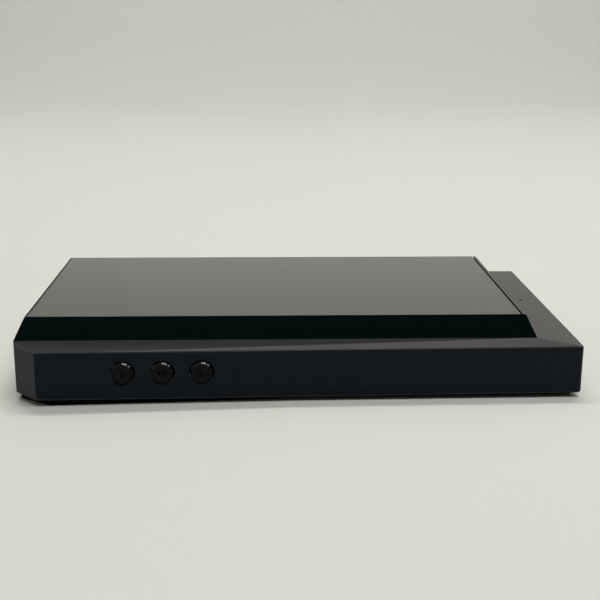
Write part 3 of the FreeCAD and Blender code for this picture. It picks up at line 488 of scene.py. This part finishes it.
def make_slot_materials():
    """One finish for each material slot of the record."""
    return {
        "body_metal": body_material(),
        "button_metal": button_material(),
        "wheel_metal": blasted_material("wheel_metal", (0.011, 0.012, 0.0125, 1), 0.32, ior=1.5),
        "cover_panel": gloss_material("cover_panel", cover_black, 0.45, 0.55, ior=1.12),
        "gloss_black": bezel_material(),
        "screen_glass": screen_glass_material(),
        "screen_layer": speckled_material("screen_layer", (0.02, 0.02, 0.024, 1), (0.03, 0.03, 0.034, 1),
                                          300.0, 0.3),
        "film": speckled_material("film", (0.06, 0.06, 0.06, 1), (0.08, 0.08, 0.08, 1), 500.0, 0.55),
        "foam": speckled_material("foam", (0.03, 0.03, 0.03, 1), (0.06, 0.06, 0.06, 1), 1500.0, 0.9,
                                  relief=0.00006),
        "sheet_steel": brushed_material("sheet_steel", (0.56, 0.56, 0.57, 1), (1, 12, 12), 0.34),
        "switch_steel": brushed_material("switch_steel", (0.5, 0.5, 0.5, 1), (8, 1, 8), 0.38),
        "screw_steel": brushed_material("screw_steel", (0.46, 0.46, 0.47, 1), (1, 1, 14), 0.32),
        "port_steel": brushed_material("port_steel", (0.66, 0.66, 0.66, 1), (1, 10, 10), 0.22),
        "jack_metal": brushed_material("jack_metal", (0.74, 0.56, 0.28, 1), (8, 1, 1), 0.25),
        "contact_metal": brushed_material("contact_metal", (0.78, 0.58, 0.3, 1), (1, 8, 8), 0.3),
        "ribbon": speckled_material("ribbon", (0.36, 0.17, 0.03, 1), (0.42, 0.21, 0.045, 1), 260.0, 0.35,
                                    coat=0.3),
        "circuit_board": speckled_material("circuit_board", (0.006, 0.03, 0.014, 1),
                                           (0.012, 0.055, 0.025, 1), 700.0, 0.36, relief=0.00001),
        "chip_plastic": speckled_material("chip_plastic", (0.012, 0.012, 0.013, 1),
                                          (0.02, 0.02, 0.021, 1), 2500.0, 0.6, relief=0.000006),
        "moulding": speckled_material("moulding", (0.01, 0.01, 0.01, 1), (0.016, 0.016, 0.016, 1),
                                      1400.0, 0.5, relief=0.000005),
        "battery_pouch": speckled_material("battery_pouch", (0.42, 0.42, 0.44, 1), (0.5, 0.5, 0.52, 1),
                                           60.0, 0.38, metallic=0.4, relief=0.00008),
        "light_pipe": speckled_material("light_pipe", mark_black, (0.0022, 0.0022, 0.0022, 1),
                                        900.0, 0.3),
    }


def dress_cad_nodes(finishes):
    """Gives each CAD node the finish of its slot in the record."""
    for part in frame["record"]["subparts"]:
        node = frame["nodes"][part["node"]]
        node.data.materials.clear()
        node.data.materials.append(finishes[part["material_slot"]])


def paper_material():
    """Pale matt paper with a faint cloudiness."""
    material, nodes, links, shader, place = start_material("studio_paper")
    cloud = noise(nodes, links, place, 3.0, 2.0, 0.4).outputs["Fac"]
    mottle = spread(nodes, links, cloud, 0.3, 0.7)
    links.new(blend(nodes, links, mottle, paper_colour, paper_shade), shader.inputs["Base Color"])
    set_constants(shader, {"Roughness": 0.8, "Specular IOR Level": 0.15})
    return material


def smooth_step(value, start, end):
    """0 before the start, 1 past the end, and a soft curve between."""
    share = min(1.0, max(0.0, (value - start) / (end - start)))
    return share * share * (3 - 2 * share)


def paper_height(x, y):
    """The paper climbs along the front of the player's left half and stays up along its right half."""
    wall_y = cad_low.y + wall_lean * max(0, x - cad_low.x)
    climb = min(1, max(0, (x - cad_low.x) / -cad_low.x))
    along = climb * (1 - smooth_step(x, *climb_right_end))
    behind = smooth_step(y, wall_y + climb_inside[0], wall_y + climb_inside[1])
    return paper_climb * along * (1 - behind) * smooth_step(y, *climb_front_end)


def stations(low, high, fine_low, fine_high, fine_step, coarse_step):
    """Places along one axis, closer together in the middle stretch."""
    places = []
    place = low
    while place < high:
        places.append(place)
        place += fine_step if fine_low <= place < fine_high else coarse_step
    return places + [high]


def make_stage():
    """Paper floor that curves up into the wall behind the player."""
    mesh = bpy.data.meshes.new("studio_sweep")
    piece = bpy.data.objects.new("studio_sweep", mesh)
    bpy.context.scene.collection.objects.link(piece)
    shape = bmesh.new()
    floor_end = wall_distance - sweep_radius
    profile = [(y, 0.0) for y in stations(-floor_reach, floor_end, *fine_rows)]
    for i in range(1, sweep_steps + 1):
        angle = math.pi / 2 * i / sweep_steps
        rise = sweep_radius * (1 - math.cos(angle))
        profile.append((floor_end + sweep_radius * math.sin(angle), rise))
    profile.append((wall_distance, floor_reach))
    columns = stations(-floor_reach, floor_reach, *fine_columns)
    rows = [[shape.verts.new((x, y, z + paper_height(x, y))) for x in columns] for y, z in profile]
    for before, after in zip(rows, rows[1:]):
        for i in range(len(columns) - 1):
            shape.faces.new((before[i], before[i + 1], after[i + 1], after[i]))
    shape.to_mesh(mesh)
    shape.free()
    for face in mesh.polygons:
        face.use_smooth = True
    mesh.materials.append(paper_material())


def make_lamp(name, place, aim, width, height, power):
    """Rectangular soft lamp: metres and watts."""
    data = bpy.data.lights.new(name, "AREA")
    data.shape = "RECTANGLE"
    data.size = width
    data.size_y = height
    data.energy = power
    lamp = bpy.data.objects.new(name, data)
    bpy.context.scene.collection.objects.link(lamp)
    lamp.location = place
    lamp.rotation_euler = (Vector(aim) - Vector(place)).to_track_quat("-Z", "Y").to_euler()


def make_lights():
    """Ceiling lamp and soft box behind, two lamps over the front, one for the backdrop, and the room."""
    for lamp in lamps:
        make_lamp(*lamp)
    bpy.data.lights["backdrop_lamp"].spread = math.radians(backdrop_spread)
    world = bpy.data.worlds.new("studio_room")
    bpy.context.scene.world = world
    world.use_nodes = True
    nodes, links = world.node_tree.nodes, world.node_tree.links
    direction = nodes.new("ShaderNodeTexCoord").outputs["Generated"]
    rightness = spread(nodes, links, split(nodes, links, direction)["X"], -0.4, 0.4)
    links.new(blend(nodes, links, rightness, room_left, room_right), nodes["Background"].inputs["Color"])


def make_camera():
    """Camera at the photograph's place and angle."""
    yaw, pitch, roll = (math.radians(a) for a in (camera_yaw, camera_pitch, camera_roll))
    ahead = math.cos(pitch)
    forward = Vector((math.sin(yaw) * ahead, math.cos(yaw) * ahead, -math.sin(pitch)))
    level = Vector((math.cos(yaw), -math.sin(yaw), 0))
    upward = level.cross(forward)
    across = level * math.cos(roll) + upward * math.sin(roll)
    upward = across.cross(forward)
    data = bpy.data.cameras.new("photo_camera")
    data.sensor_width = sensor_width
    data.lens = focal_pixels / photo_width * sensor_width
    data.clip_start = 0.01
    camera = bpy.data.objects.new("photo_camera", data)
    bpy.context.scene.collection.objects.link(camera)
    turn = Matrix((across, upward, -forward)).transposed().to_4x4()
    camera.matrix_world = Matrix.Translation(camera_place) @ turn
    bpy.context.scene.camera = camera


dress_cad_nodes(make_slot_materials())
make_stage()
make_lights()
make_camera()
bpy.context.scene.view_settings.view_transform = "Standard"
